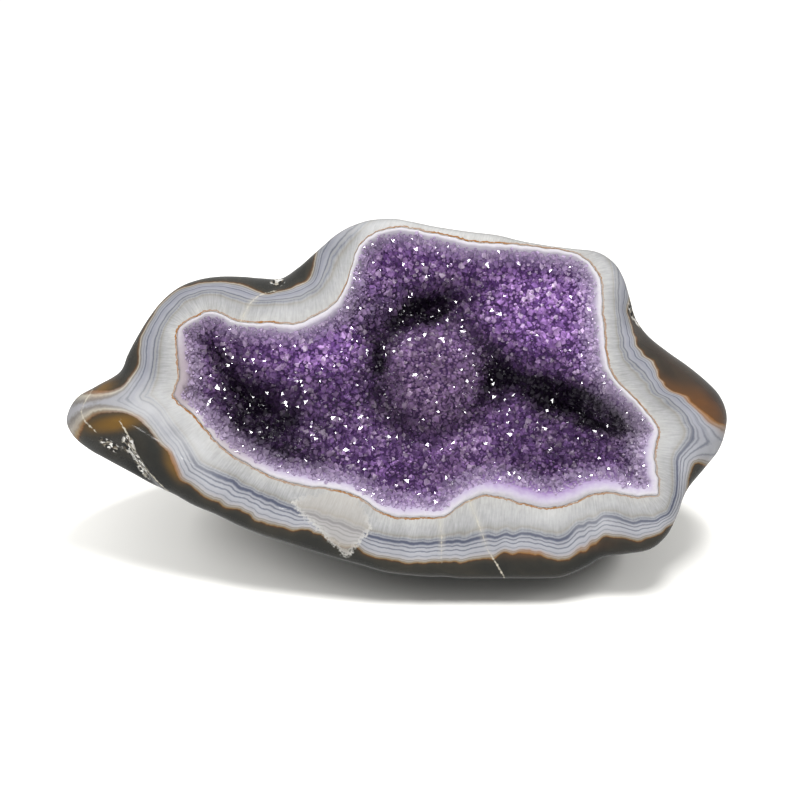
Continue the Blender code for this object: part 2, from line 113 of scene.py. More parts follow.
# Where the bands end in a rusty line and the dark chalcedony skin begins
bandEnd = [
    (-106, 3), (-98.5, 3), (-93, 3), (-89, 4.5), (-87, 7.5), (-84.5, 11.5), (-84.5, 16), (-84, 21),
    (-81, 26.5), (-78, 31.5), (-74, 35), (-68, 37.5), (-61.5, 38.5), (-55, 38.5), (-50.5, 37.5),
    (-46, 35.5), (-43, 34.5), (-39.5, 35.5), (-35.5, 36.5), (-32.5, 38), (-30, 39), (-29, 42.5),
    (-28.5, 46), (-27, 52), (-22, 60), (-14, 66), (-4, 71), (10, 72), (30, 69), (52, 66), (64, 62),
    (73, 54), (77, 46), (77, 40), (75.5, 34), (74, 29), (75.5, 24), (76, 20), (77.5, 16.5), (80.5, 13.5),
    (82, 11), (83.5, 7), (86, 4), (90.5, 2), (93.5, -0.5), (96, -3), (98.5, -5), (102.5, -7), (109, -9),
    (112, -14), (107, -20.5), (100.5, -22.5), (95, -20.3), (92.8, -22.8), (91.8, -27.5), (92, -32),
    (90, -37), (84, -41), (80.5, -43.5), (76, -44.5), (71, -44), (67, -43.5), (63, -44), (60, -46.5),
    (57, -48.5), (53.5, -50), (48, -50.5), (44, -49), (39.5, -48.5), (33, -48.5), (30, -49.5), (27, -50.5),
    (19, -51), (9.5, -51.5), (1.5, -51.5), (-3, -50.5), (-8, -50), (-11, -48.5), (-14, -46.5), (-19, -46.5),
    (-23.5, -43.5), (-28.5, -41.5), (-35, -41), (-41, -39.5), (-46, -38.5), (-49, -36), (-55.5, -34),
    (-62, -31), (-66.5, -27.5), (-70, -25.5), (-71.5, -22.5), (-73.5, -17.5), (-75, -15.5), (-77, -13.5),
    (-80.5, -9), (-84, -6), (-88, -4.2), (-92.5, -4), (-97, -4.8), (-100.5, -7.5), (-103, -12), (-108, -19),
    (-120, -19), (-127, -8), (-118, 2),
]


def srgb(hexColour, alpha=1.0):
    # linear colour of an sRGB hex value
    parts = [int(hexColour[i:i + 2], 16) / 255 for i in (1, 3, 5)]
    linear = [p / 12.92 if p <= 0.04045 else ((p + 0.055) / 1.055) ** 2.4 for p in parts]
    return (*linear, alpha)


def closedSpline(points, count):
    points = np.array(points, float)
    place = np.arange(count) * len(points) / count
    k = place.astype(int)
    t = (place - k)[:, None]
    a, b, c, d = (points[(k + j) % len(points)] for j in (-1, 0, 1, 2))
    return b + 0.5 * t * (c - a + t * (2 * a - 5 * b + 4 * c - d + t * (3 * (b - c) + d - a)))


def smooth(x):
    x = np.clip(x, 0, 1)
    return x * x * (3 - 2 * x)


def softNoise(x, y, z, spacing, seed=0.0):
    return noise.noise(Vector((x / spacing + seed, y / spacing, z / spacing)))


def noiseAt(points, spacing, seed):
    return np.array([softNoise(x, y, 0, spacing, seed) for x, y in points])


def faceHeight(points):
    wave = form["faceWave"] * noiseAt(points, form["faceWaveSpacing"], 3)
    return -math.tan(math.radians(lie["faceLean"])) * points[:, 1] + wave


def distanceToPath(points, path):
    # how far each point is from the path, and on which side (positive on its left)
    points = np.asarray(points, float)
    path = np.asarray(path, float)
    nearest = np.full(len(points), 1e9)
    side = np.zeros(len(points))
    for a, r in zip(path, np.diff(path, axis=0)):
        off = points - a
        t = np.clip((off @ r) / max(r @ r, 1e-9), 0, 1)
        gap = np.hypot(*(off - t[:, None] * r).T)
        closer = gap < nearest
        nearest[closer] = gap[closer]
        side[closer] = (r[0] * off[:, 1] - r[1] * off[:, 0])[closer]
    return nearest, side


def insideDistance(points, loop):
    # distance of each point to the closed loop, positive inside
    points = np.asarray(points, float)
    end = np.roll(loop, -1, axis=0)
    run = end - loop
    length2 = np.maximum((run * run).sum(1), 1e-12)
    result = np.empty(len(points))
    batch = 2000  # points at a time
    for first in range(0, len(points), batch):
        part = points[first:first + batch]
        off = part[:, None, :] - loop[None]
        t = np.clip((off * run).sum(2) / length2, 0, 1)
        gap = np.hypot(*np.moveaxis(off - t[..., None] * run, 2, 0)).min(1)
        crosses = (loop[:, 1] > part[:, 1:]) != (end[:, 1] > part[:, 1:])
        rise = np.where(run[:, 1] == 0, 1e-9, run[:, 1])
        at = loop[:, 0] + (part[:, 1:] - loop[:, 1]) * run[:, 0] / rise
        inside = (crosses & (at > part[:, :1])).sum(1) % 2 == 1
        result[first:first + batch] = np.where(inside, gap, -gap)
    return result


def spots(points, places):
    # sum of bell shapes (x, y, half-lengths, turn, amount, flatness) at each point
    points = np.asarray(points, float)
    total = np.zeros(len(points))
    for x, y, halfX, halfY, turn, amount, flatness in places:
        c = math.cos(math.radians(turn))
        s = math.sin(math.radians(turn))
        along = ((points[:, 0] - x) * c + (points[:, 1] - y) * s) / halfX
        across = ((points[:, 1] - y) * c - (points[:, 0] - x) * s) / halfY
        total += amount * np.exp(-((along**2 + across**2) ** flatness))
    return total


def moveInwards(loop, distance):
    ahead = np.roll(loop, -1, axis=0) - np.roll(loop, 1, axis=0)
    ahead /= np.hypot(*ahead.T)[:, None]
    return loop + np.stack([ahead[:, 1], -ahead[:, 0]], axis=1) * np.reshape(distance, (-1, 1))


def lattice(spacing, loop, clearance, turn=0):
    middle = loop.mean(0)
    reach = int(np.abs(loop - middle).max() * 1.3 / spacing) + 1
    rows, columns = np.mgrid[-reach:reach + 1, -reach:reach + 1]
    across = (columns + 0.5 * (rows % 2)).ravel() * spacing
    up = rows.ravel() * spacing * math.sqrt(3) / 2
    c = math.cos(math.radians(turn))
    s = math.sin(math.radians(turn))
    points = np.stack([middle[0] + across * c - up * s, middle[1] + across * s + up * c], axis=1)
    return points[insideDistance(points, loop) > clearance]


def triangulate(loops, inner):
    # triangles over closed loops, one inside the next, and free points within them
    flat = [Vector(p) for loop in loops for p in loop] + [Vector(p) for p in inner]
    edges = []
    first = 0
    for loop in loops:
        count = len(loop)
        edges += [(first + i, first + (i + 1) % count) for i in range(count)]
        first += count
    vertices, _, faces, _, _, _ = delaunay_2d_cdt(flat, edges, [], 1, 1e-7)
    return np.array([v[:] for v in vertices]), faces


def layDown(mesh):
    lean = Matrix.Rotation(math.radians(90 - lie["sightElevation"]), 4, "X")
    place = Matrix.Translation((-lie["originX"], -lie["originY"], lie["flatBelow"]))
    mesh.transform(Matrix.Scale(mm, 4) @ place @ lean)


def bridge(mesh, first, second):
    count = len(first)
    for i in range(count):
        j = (i + 1) % count
        mesh.faces.new((first[i], first[j], second[j], second[i]))


# The stone's form, shared by the shell and the crust
form = {
    "spokes": 600,
    "faceRings": 46,
    "backRings": 40,
    "backMiddle": (2.0, -4.0),
    "backDepth": -64.0,  # mm, the back's furthest point
    "backFullness": 0.86,  # less is fuller
    "lumpHeight": 2.6,  # mm
    "lumpSpacing": 26.0,
    "foldDrop": 9.0,  # mm
    "foldWidth": 2.2,
    "ringCrowding": 1.15,  # more than 1 puts more rings by the hollow
    "faceWave": 1.6,  # mm, swing of the polished face
    "faceWaveSpacing": 38,
    "grit": 1.1,  # mm, roughness of the broken pits
    "edgeRipple": 0.35,  # mm, the waver of the rusty line round the hollow
    "ripplePitch": 2.4,
    "zigzagPitch": 2.9,  # mm, about half of one zigzag of the bands
    "zigzag": 0.15,  # swing, as a share of the banded zone's width
    "skinLayer": 10.0,  # mm of skin for one step of the layer number
    "bandsEndBehind": 20.0,  # mm past the silhouette
    "wallDepth": 17.0,  # mm, of the hollow without its relief
    "wallRun": 9.0,
    "reliefRun": 14.0,  # mm from the edge over which the relief comes in
    "hollowWave": 1.3,  # mm, swing of the lining
    "hollowWaveSpacing": 9,
    "crustThickness": 4.6,
    "underCrust": 0.8,  # mm between the crust and the stone's floor
}
# Ridge of the fold at the left
foldLine = [(-89, -7.5), (-86.5, -12), (-84.5, -17), (-80.5, -23), (-76.5, -27), (-72, -32)]
# Dents, broken places, relief of the hollow and zigzag of the bands, each as spots()
dents = [
    (-92.8, -15.4, 4.5, 3, 20, 2.5, 1), (-82.6, -21.4, 5.5, 3, -60, 2, 1), (-40.3, 37, 3.5, 3, 0, 2.5, 1),
    (-30, 41.5, 5.5, 2.8, 75, 3, 1), (76.8, 25, 7.5, 3.2, -63, 3.5, 1),
]
roughPlaces = [
    (-93.5, -14.5, 4, 1.6, -35, 1, 1), (-87, -14, 2.2, 3, 20, 1, 1), (-83, -21.5, 5, 1.8, -62, 1, 1),
    (-40, 38.5, 2.6, 1.6, 0, 1, 1), (76.5, 27.5, 5, 1.6, -63, 1, 1),
]
relief = [
    (10, 8.5, 16.5, 16.5, 0, -23, 1.6), (10, 8.5, 23, 23, 0, 7, 3), (10, 31, 14, 5.5, 28, 12, 1),
    (-8, 16, 5, 12, 25, 5, 1), (32, 6, 8, 10, 0, 5, 1), (49, 29, 24, 19, 0, -8, 1),
    (62, -2.5, 21, 5.5, -16, 15, 1), (50, -18, 24, 9, 0, -5, 1), (-28, 14, 19, 11, 0, -6, 1),
    (-46, 0, 14, 8, -30, 10, 1), (-58, 14, 3.5, 11, 30, 8, 1), (-35, -14, 11, 5, -10, -6, 1),
    (-3, -17, 15, 7, 0, -4, 1),
]
zigzagZones = [
    (50, -34, 42, 14, 0, 0.65, 2), (-60, 36, 22, 10, 15, 0.6, 1), (-30, -28, 26, 9, -20, 0.5, 2),
    (76, 12, 14, 18, 0, 1.2, 1), (-26, 28, 14, 8, 30, 0.3, 1),
]

outline = closedSpline(stations, form["spokes"])
hollowEdge = outline[:, :2].copy()
ripple = [noiseAt(hollowEdge, form["ripplePitch"], seed) for seed in (21, 27)]
hollowEdge += form["edgeRipple"] * np.stack(ripple, axis=1)
silhouette = outline[:, 2:4]
startLoop = closedSpline(bandStart, 400)
endLoop = closedSpline(bandEnd, 400)


def hollowDepth(points, distance):
    # depth of the crystals' feet under the face
    wall = form["wallDepth"] * (1 - np.exp(-distance / form["wallRun"]))
    waves = form["hollowWave"] * noiseAt(points, form["hollowWaveSpacing"], 11)
    depth = wall + spots(points, relief) * smooth(distance / form["reliefRun"]) + waves * smooth(distance / 5)
    return np.where(distance <= 0, 0, np.maximum(depth, 0.6 * np.minimum(distance, 5)))


def bandLayers(flat, reach, width):
    # 0 to 1 across the quartz, 1 to 2 across the bands, more in the skin and on the back
    beforeStart = insideDistance(flat, startLoop)
    beforeEnd = insideDistance(flat, endLoop)
    quartz = reach / np.maximum(reach + beforeStart, 1e-6)
    bands = 1 - beforeStart / np.maximum(beforeEnd - beforeStart, 1e-6)
    skin = 2 - beforeEnd / form["skinLayer"]
    layer = np.where(beforeStart > 0, quartz, np.where(beforeEnd > 0, bands, skin))
    return np.where(reach - width > form["bandsEndBehind"], np.maximum(layer, 2.2), layer)


def buildShell():
    # rings from the hollow's edge over the rim to the back
    spokes = form["spokes"]
    direction = silhouette - hollowEdge
    width = np.hypot(*direction.T)
    unit = direction / width[:, None]
    behind = outline[:, 4]
    middle = np.array(form["backMiddle"])
    rings = []
    reaches = []
    for k in range(form["faceRings"] + 1):
        step = math.sin(math.radians(90) * k / form["faceRings"]) ** form["ringCrowding"]
        flat = hollowEdge + direction * step
        height = faceHeight(flat)
        gap, side = distanceToPath(flat, foldLine)
        fold = np.where(side < 0, form["foldDrop"] * smooth(gap / form["foldWidth"]), 0)
        run = foldLine[0][1] - foldLine[-1][1]
        fold *= smooth(0.1 + 1.4 * (foldLine[0][1] - flat[:, 1]) / run)
        rough = spots(flat, roughPlaces)
        coarse = noiseAt(flat, 1.3, 9)
        fine = noiseAt(flat, 0.6, 4)
        height = height - behind * (1 - math.sqrt(1 - step**3)) - fold - spots(flat, dents)
        height += form["grit"] * (coarse + 0.6 * fine) * smooth(rough * 1.6 - 0.5)
        rings.append(np.column_stack([flat, height]))
        reaches.append(width * step)
    last = rings[-1]
    for k in range(1, form["backRings"]):
        turn = math.radians(90) * k / form["backRings"]
        spread = math.cos(turn) ** form["backFullness"]
        flat = middle + (last[:, :2] - middle) * spread
        height = last[:, 2] + (form["backDepth"] - last[:, 2]) * math.sin(turn)
        ring = np.column_stack([flat, height])
        fade = smooth(k / form["backRings"] * 10 / 3)
        for i, (x, y, z) in enumerate(ring):
            lump = form["lumpHeight"] * softNoise(x, y, z, form["lumpSpacing"], 5.0) * fade
            outward = Vector((x - middle[0], y - middle[1], z)).normalized()
            ring[i] += np.array(outward) * lump
        reaches.append(reaches[-1] + np.sqrt(((ring - rings[-1]) ** 2).sum(1)))
        rings.append(ring)
    between = (hollowEdge + silhouette) / 2
    steps = np.hypot(*(np.roll(between, -1, axis=0) - between).T)
    turns = 2 * math.pi * np.concatenate([[0], np.cumsum(steps)[:-1]]) / steps.sum()
    radius = steps.sum() / (2 * math.pi)
    around = np.column_stack([radius * np.cos(turns), radius * np.sin(turns)])
    swing = noiseAt(around, form["zigzagPitch"], 61)
    swing *= form["zigzag"] * (0.2 + spots(hollowEdge, zigzagZones))

    mesh = bmesh.new()
    unrolled = mesh.verts.layers.float_vector.new("unrolled")
    layers = mesh.verts.layers.float.new("layer")
    marks = mesh.verts.layers.float_vector.new("marks")
    tones = mesh.verts.layers.float_vector.new("tones")
    grid = []
    for ring, reach in zip(rings, reaches):
        flat = hollowEdge + unit * reach[:, None]
        layer = bandLayers(flat, reach, width)
        layer = layer + swing * smooth((layer - 0.3) / 0.8)
        markRow = markValues(flat)
        toneRow = toneValues(flat)
        row = []
        for i, place in enumerate(ring):
            vert = mesh.verts.new(place)
            vert[unrolled] = Vector((*around[i], reach[i]))
            vert[layers] = layer[i]
            vert[marks] = Vector(markRow[i])
            vert[tones] = Vector(toneRow[i])
            row.append(vert)
        grid.append(row)
    for first, second in zip(grid, grid[1:]):
        bridge(mesh, first, second)
    pole = mesh.verts.new((*middle, form["backDepth"]))
    pole[unrolled] = Vector((0, 0, reaches[-1].mean()))
    pole[layers] = grid[-1][0][layers]
    pole[marks] = grid[-1][0][marks]
    for i, vert in enumerate(grid[-1]):
        mesh.faces.new((vert, grid[-1][(i + 1) % spokes], pole))
    foot = moveInwards(hollowEdge, crust["stoneFoot"])
    inner = lattice(crust["undersideSpacing"], foot, 2.2)
    flat, faces = triangulate([foot], inner)
    distance = insideDistance(flat, foot) - crust["stoneDrop"]
    depth = form["crustThickness"] + form["underCrust"] + hollowDepth(flat, distance)
    floor = [mesh.verts.new((x, y, z)) for (x, y), z in zip(flat, faceHeight(flat) - depth)]
    for face in faces:
        mesh.faces.new([floor[i] for i in face])
    bridge(mesh, floor[:spokes], grid[0])
    bmesh.ops.recalc_face_normals(mesh, faces=mesh.faces)
    layDown(mesh)
    cut = bmesh.ops.bisect_plane(
        mesh, geom=mesh.verts[:] + mesh.edges[:] + mesh.faces[:],
        plane_co=(0, 0, 0), plane_no=(0, 0, -1), clear_outer=True,
    )
    rim = [e for e in cut["geom_cut"] if isinstance(e, bmesh.types.BMEdge)]
    filled = bmesh.ops.contextual_create(mesh, geom=rim)["faces"]
    for face in mesh.faces:
        face.smooth = True
    for face in filled:
        face.smooth = False
        for edge in face.edges:
            edge.smooth = False
    for i in range(spokes):
        edge = mesh.edges.get((grid[0][i], grid[0][(i + 1) % spokes]))
        if edge:
            edge.smooth = False
    return toObject("agateShell", mesh)


def toObject(name, mesh):
    data = bpy.data.meshes.new(name)
    mesh.to_mesh(data)
    mesh.free()
    obj = bpy.data.objects.new(name, data)
    bpy.context.scene.collection.objects.link(obj)
    return obj


# Marks of the polished face: healed cracks, a painted highlight along the ridge of the fold, and the milky
# patch
crackAndHighlightLines = [
    [(-40.5, 35.5), (-45.5, 34), (-48.5, 31.5), (-50.5, 27.5), (-51.5, 25)],
    [(18.5, -27.5), (22, -32), (24, -37), (26, -42.5), (27.5, -47), (30, -51), (33, -56)],
    [(-99.5, 2.5), (-101.5, -1), (-102.5, -3.5), (-101, -7), (-98, -9.5)],
    [(12.6, -37.5), (13.2, -44), (13, -50)],
    # the ridge of the fold, which gets a painted highlight along it
    foldLine,
]
milkyPatch = [
    (-34, -32), (-28, -30), (-20, -29), (-14, -31), (-11, -35), (-9, -40.5), (-13, -45), (-17, -49.5),
    (-22, -44.5), (-28, -38.5), (-32, -35.5),
]
amberSpots = [
    (-91.5, -7.5, 8.5, 2.6, 8, 1, 1.5), (-72, -20.5, 2.6, 5.5, 25, 1, 1.5),
    (98.5, -3.5, 9, 4.5, -42, 1, 1.2), (88, 3, 9, 2.2, -42, 0.6, 1), (48, -46.8, 13, 2, 5, 1, 1),
    (86, 14, 16, 5, -42, 0.12, 1), (-95.5, 4.5, 4, 2.2, 30, 0.8, 1),
]
# Whiter quartz; the spots on the top rim and on the upper right rim are painted sheen
whiterQuartzAndSheenSpots = [
    (-80, -3, 12, 7, -25, 0.9, 1), (-66, -15, 10, 6, -40, 0.7, 1), (86, -12, 6, 9, 0, 0.3, 1),
    (48, -37.5, 24, 4, 0, 0.6, 1), (-30, 29, 12, 5, 25, 0.6, 1), (68, 38, 4, 10, 0, 0.5, 1),
    (0, 58, 30, 5, 0, 0.7, 1),
]


def markValues(flat):
    # per point: signed distance to the nearest line of a crack or of the painted ridge highlight, how near it
    # is, and depth inside the milky patch
    gap = np.full(len(flat), 20.0)
    side = np.ones(len(flat))
    for line in crackAndHighlightLines:
        lineGap, lineSide = distanceToPath(flat, line)
        nearer = lineGap < gap
        gap[nearer] = lineGap[nearer]
        side[nearer] = lineSide[nearer]
    near = np.clip(1.8 - gap, 0, 1)
    return np.column_stack([gap * np.sign(side), near, insideDistance(flat, np.array(milkyPatch))])


def toneValues(flat):
    # per point: shares of amber, of broken rough crystal, and of whiter quartz with a painted sheen on the
    # top rim and the upper right rim
    rough = spots(flat, roughPlaces)
    return np.column_stack([spots(flat, amberSpots), rough, spots(flat, whiterQuartzAndSheenSpots)])


# The crust: its polished edge and the bed that the crystals stand on
crust = {
    "edgeBand": 0.9,  # mm, width of the polished edge before widerEdge is added
    "edgeWaver": 0.5,
    "edgeLeast": 0.5,
    "bedSpacing": 1.15,
    "undersideSpacing": 2.5,
    "gap": 0.12,  # to the stone
    "stoneFoot": 0.9,  # mm inside the edge, where the stone's floor starts
    "crustFoot": 1.2,  # the same for the crust's underside
    "stoneDrop": 1.4,  # mm inside its foot, where the stone's floor starts to drop
    "shallowPaintedLight": 0.56,  # share of colour where the hollow is shallow, then how much less it gets deeper down, as painted shade
    "paintedShadeDrop": 0.34,
    "dropFrom": 8,  # mm of depth
    "dropOver": 18,
}
# As spots(): where the polished edge is wider, where the crystals get painted light or painted shade, and
# where they are greyer or frosted
widerEdge = [
    (45, -31, 27, 9, 0, 3.2, 1.5), (82, -20, 7, 12, 0, 1.6, 1), (66, 30, 5, 22, 0, 0.7, 1),
    (30, 52, 45, 6, -5, 0.5, 1), (-73, 10, 6, 12, 0, 1.6, 1), (-26, 26, 18, 6, 15, 1.1, 1),
    (-30, -27, 22, 6, -20, 0.9, 1), (3, -37, 12, 4, 0, 1.4, 1),
]
# Painted light on the upper slopes, the top and the knob; painted shade round the knob, in the valley right
# of it, in the pits and on the left floor
paintedLightAndShadeZones = [
    (54, 33, 24, 20, 0, 0.6, 1.5), (65, 26, 7, 20, 0, 0.25, 1), (-30, 18, 20, 9, 0, 0.48, 1.5),
    (6, 48, 26, 8, 0, 0.36, 1), (10, 8.5, 22, 22, 0, -0.36, 3), (11.5, 8.5, 15.5, 15.5, 0, 0.38, 3),
    (-8, 16, 4, 11, 25, -0.22, 1), (16, -12, 12, 6, 0, 0.25, 1), (8, 31, 15, 6, 28, -0.2, 1),
    (45, 7, 20, 5.5, -22, -0.34, 1), (62, -3, 20, 6.5, -16, -0.55, 1), (-44, -12, 24, 9, -25, -0.5, 1),
    (-30, -10, 16, 8, -10, -0.08, 1), (-57, 10, 9, 14, 15, -0.16, 1), (52, -18, 26, 9, 0, -0.26, 1),
]
greyZones = [
    (10, 6, 17, 17, 0, 0.8, 1.5), (-71, 6, 6, 16, 0, 1.2, 1), (-56, -15, 14, 6, -35, 0.7, 1),
    (18, -20, 10, 6, 20, 0.4, 1),
]
frostZones = [
    (67, 27, 8, 24, 0, 0.6, 1.5), (58, 45, 12, 6, -30, 0.5, 1), (-27, 27, 18, 4.5, 15, 0.4, 1),
    (78, -12, 6, 14, 0, 0.45, 1),
]


def buildBed():
    spokes = form["spokes"]
    outer = moveInwards(hollowEdge, crust["gap"])
    bandWidth = crust["edgeBand"] + spots(hollowEdge, widerEdge)
    bandWidth += crust["edgeWaver"] * (noiseAt(hollowEdge, 3, 31) + 0.5 * noiseAt(hollowEdge, 1.3, 37))
    for _ in range(2):
        bandWidth = (np.roll(bandWidth, 1) + 2 * bandWidth + np.roll(bandWidth, -1)) / 4
    bandWidth = np.maximum(bandWidth, crust["edgeLeast"])
    middleRing = moveInwards(hollowEdge, bandWidth * 0.5)
    band = moveInwards(hollowEdge, bandWidth)
    inner = lattice(crust["bedSpacing"], band, 0.5, 17)
    shift = np.stack([noiseAt(inner, 0.7, 40), noiseAt(inner, 0.7, 50)], axis=1)
    inner = inner + 0.45 * crust["bedSpacing"] * shift
    flat, faces = triangulate([outer, middleRing, band], inner)
    distance = insideDistance(flat, band)
    distance[:spokes * 3] = 0
    depth = hollowDepth(flat, distance)
    # Painted shade: the crystals and their bed get darker the deeper the hollow is; the zones add painted
    # light and painted shade
    paintedLightShade = crust["shallowPaintedLight"] - crust["paintedShadeDrop"] * smooth((depth - crust["dropFrom"]) / crust["dropOver"])
    paintedLightShade = np.clip(paintedLightShade + spots(flat, paintedLightAndShadeZones), 0, 1)
    grey = np.clip(spots(flat, greyZones), 0, 1)
    frost = np.clip(spots(flat, frostZones), 0, 1)
    reachOut = insideDistance(flat, hollowEdge)
    mesh = bmesh.new()
    place = mesh.verts.layers.float_vector.new("place")
    paintedLightGreyFrost = mesh.verts.layers.float_vector.new("paintedLightGreyFrost")
    top = []
    height = faceHeight(flat) - depth
    for i, (x, y) in enumerate(flat):
        vert = mesh.verts.new((x, y, height[i]))
        vert[place] = Vector((distance[i], depth[i], reachOut[i]))
        vert[paintedLightGreyFrost] = Vector((paintedLightShade[i], grey[i], frost[i]))
        top.append(vert)
    for face in faces:
        mesh.faces.new([top[i] for i in face])
    foot = moveInwards(hollowEdge, crust["crustFoot"])
    low, lowFaces = triangulate([foot], lattice(crust["undersideSpacing"], foot, 2.7))
    lowDepth = form["crustThickness"] + hollowDepth(low, insideDistance(low, foot) - crust["crustFoot"])
    bottom = [mesh.verts.new((x, y, z)) for (x, y), z in zip(low, faceHeight(low) - lowDepth)]
    for face in lowFaces:
        mesh.faces.new([bottom[i] for i in face])
    bridge(mesh, bottom[:spokes], top[:spokes])
    bmesh.ops.recalc_face_normals(mesh, faces=mesh.faces)
    layDown(mesh)
    for face in mesh.faces:
        face.smooth = True
    return toObject("crystalBed", mesh)


def feed(node, inputs):
    # sets each input to its value, or links it; inputs without names are taken in order
    named = inputs if isinstance(inputs, dict) else dict(enumerate(inputs))
    for key, value in named.items():
        if isinstance(value, bpy.types.NodeSocket):
            node.id_data.links.new(value, node.inputs[key])
        else:
            node.inputs[key].default_value = value


def addNode(tree, kind, inputs=(), output=0, stops=None, **settings):
    # a node with its settings and inputs; one output comes back
    node = tree.nodes.new(kind if "Node" in kind else "ShaderNode" + kind)
    for key, value in settings.items():
        setattr(node, key, value)
    feed(node, inputs)
    if stops:
        elements = node.color_ramp.elements
        elements.remove(elements[1])
        for k, (place, colour) in enumerate(stops):
            element = elements[0] if k == 0 else elements.new(place)
            element.position = place
            element.color = srgb(colour)
    return node.outputs[output] if node.outputs else node


# Short forms of addNode; the first value of each is always a link, which gives the node tree
def times(a, b, **settings):
    return addNode(a.id_data, "Math", (a, b), operation="MULTIPLY", **settings)


def plus(a, b, **settings):
    return addNode(a.id_data, "Math", (a, b), operation="ADD", **settings)


def scaled(vector, factor):
    return addNode(vector.id_data, "VectorMath", {0: vector, "Scale": factor}, operation="SCALE")


def blend(share, under, over):
    return addNode(share.id_data, "Mix", {0: share, 6: under, 7: over}, 2, data_type="RGBA")


# The crystals: six-sided, each with an off-centre tip
crystals = {
    "radius": 0.78,  # mm
    # Height and offset of the tip, and taper, all as shares of the radius
    "kinds": [
        (1.35, (0.1, 0.05), 0.95), (1.05, (-0.2, 0.1), 1), (1.6, (0, -0.15), 0.9), (1.2, (0.25, 0.2), 1.05),
    ],
    # The foot's depth in the bed, the height of the shoulder and how its corners differ, the same way
    "sunk": 0.6,
    "shoulder": 0.3,
    "shoulderSwing": 0.2,
    "widthSwing": 0.14,
    "clearOfEdge": 0.15,  # mm from the polished edge
    "mostPerArea": 4.0e6,  # in a square metre
}
druse = {
    "Spacing": 1.0 * mm,
    "Smallest": 0.75,  # scales
    "Largest": 1.7,
    "Tilt": math.radians(34),  # off square
    "Seed": 5,
}
standouts = {
    "Spacing": 6.0 * mm,
    "Smallest": 1.2,
    "Largest": 1.9,
    "Tilt": math.radians(38),
    "Seed": 12,
}


def quartzPoint(name, height, offset, taper):
    # a short six-sided prism with an off-centre tip; its foot is sunk in the bed
    mesh = bmesh.new()
    rise = mesh.verts.layers.float.new("rise")
    radius = crystals["radius"] * mm
    foot = []
    shoulder = []
    for i in range(6):
        x = math.cos(math.radians(60 * i)) * radius
        y = math.sin(math.radians(60 * i)) * radius
        turn = (-1) ** i
        wide = taper * (1 + crystals["widthSwing"] * turn)
        top = radius * (crystals["shoulder"] + crystals["shoulderSwing"] * turn)
        foot.append(mesh.verts.new((x, y, -crystals["sunk"] * radius)))
        shoulder.append(mesh.verts.new((x * wide, y * wide, top)))
    tip = mesh.verts.new((offset[0] * radius, offset[1] * radius, height * radius))
    tip[rise] = 1
    mesh.faces.new(foot)
    bridge(mesh, foot, shoulder)
    for i in range(6):
        mesh.faces.new((shoulder[i], shoulder[(i + 1) % 6], tip))
    bmesh.ops.recalc_face_normals(mesh, faces=mesh.faces)
    return toObject(name, mesh)


def scatterTree(kinds, material):
    # points spread over the lining of the bed, with one crystal on each
    tree = bpy.data.node_groups.new("crystalScatter", "GeometryNodeTree")
    tree.interface.new_socket("Geometry", in_out="INPUT", socket_type="NodeSocketGeometry")
    for name in ("Spacing", "Smallest", "Largest", "Tilt"):
        tree.interface.new_socket(name, in_out="INPUT", socket_type="NodeSocketFloat")
    tree.interface.new_socket("Seed", in_out="INPUT", socket_type="NodeSocketInt")
    tree.interface.new_socket("Geometry", in_out="OUTPUT", socket_type="NodeSocketGeometry")
    add = partial(addNode, tree)
    given = tree.nodes.new("NodeGroupInput").outputs
    place = add("GeometryNodeInputNamedAttribute", {"Name": "place"}, "Attribute", data_type="FLOAT_VECTOR")
    inside = add("SeparateXYZ", (place,), "X")
    onLining = add(
        "FunctionNodeCompare", (inside, crystals["clearOfEdge"]), data_type="FLOAT", operation="GREATER_THAN"
    )
    points = add(
        "GeometryNodeDistributePointsOnFaces",
        {"Mesh": given["Geometry"], "Selection": onLining, "Distance Min": given["Spacing"],
         "Density Max": crystals["mostPerArea"], "Seed": given["Seed"]},
        "Points", distribute_method="POISSON",
    )
    upright = points.node.outputs["Rotation"]
    chance = add("FunctionNodeRandomValue", {2: 0.0, 3: 1.0, 8: 3}, 1, data_type="FLOAT")
    skewed = add("Math", (chance, 3.0), operation="POWER")
    size = add("MapRange", {0: skewed, 3: given["Smallest"], 4: given["Largest"]})
    nearEdge = add("MapRange", (inside, 0.0, 3.0, 0.6, 1.0))
    scale = times(size, nearEdge)
    back = times(given["Tilt"], -1.0)
    low = add("CombineXYZ", (back, back, -math.pi))
    high = add("CombineXYZ", (given["Tilt"], given["Tilt"], math.pi))
    turn = add("FunctionNodeRandomValue", {0: low, 1: high, 8: 7}, 0, data_type="FLOAT_VECTOR")
    turned = add("FunctionNodeEulerToRotation", (turn,))
    rotation = add("FunctionNodeRotateRotation", (upright, turned), rotation_space="LOCAL")
    shapes = add(
        "GeometryNodeCollectionInfo", {"Collection": kinds, "Separate Children": True, "Reset Children": True}
    )
    kind = add("FunctionNodeRandomValue", {4: 0, 5: len(crystals["kinds"]) - 1, 8: 11}, 2, data_type="INT")
    stand = add(
        "GeometryNodeInstanceOnPoints",
        {"Points": points, "Instance": shapes, "Pick Instance": True, "Instance Index": kind,
         "Rotation": rotation, "Scale": scale},
    )
    shade = add("FunctionNodeRandomValue", {2: 0.0, 3: 1.0, 8: 19}, 1, data_type="FLOAT")
    shaded = add(
        "GeometryNodeStoreNamedAttribute", {"Geometry": stand, "Name": "shade", "Value": shade},
        data_type="FLOAT", domain="INSTANCE",
    )
    real = add("GeometryNodeRealizeInstances", (shaded,))
    facet = add("FunctionNodeRandomValue", {2: 0.0, 3: 1.0, 8: 23}, 1, data_type="FLOAT")
    cut = add(
        "GeometryNodeStoreNamedAttribute", {"Geometry": real, "Name": "facet", "Value": facet},
        data_type="FLOAT", domain="FACE",
    )
    painted = add("GeometryNodeSetMaterial", {"Geometry": cut, "Material": material})
    add("NodeGroupOutput", (painted,))
    return tree


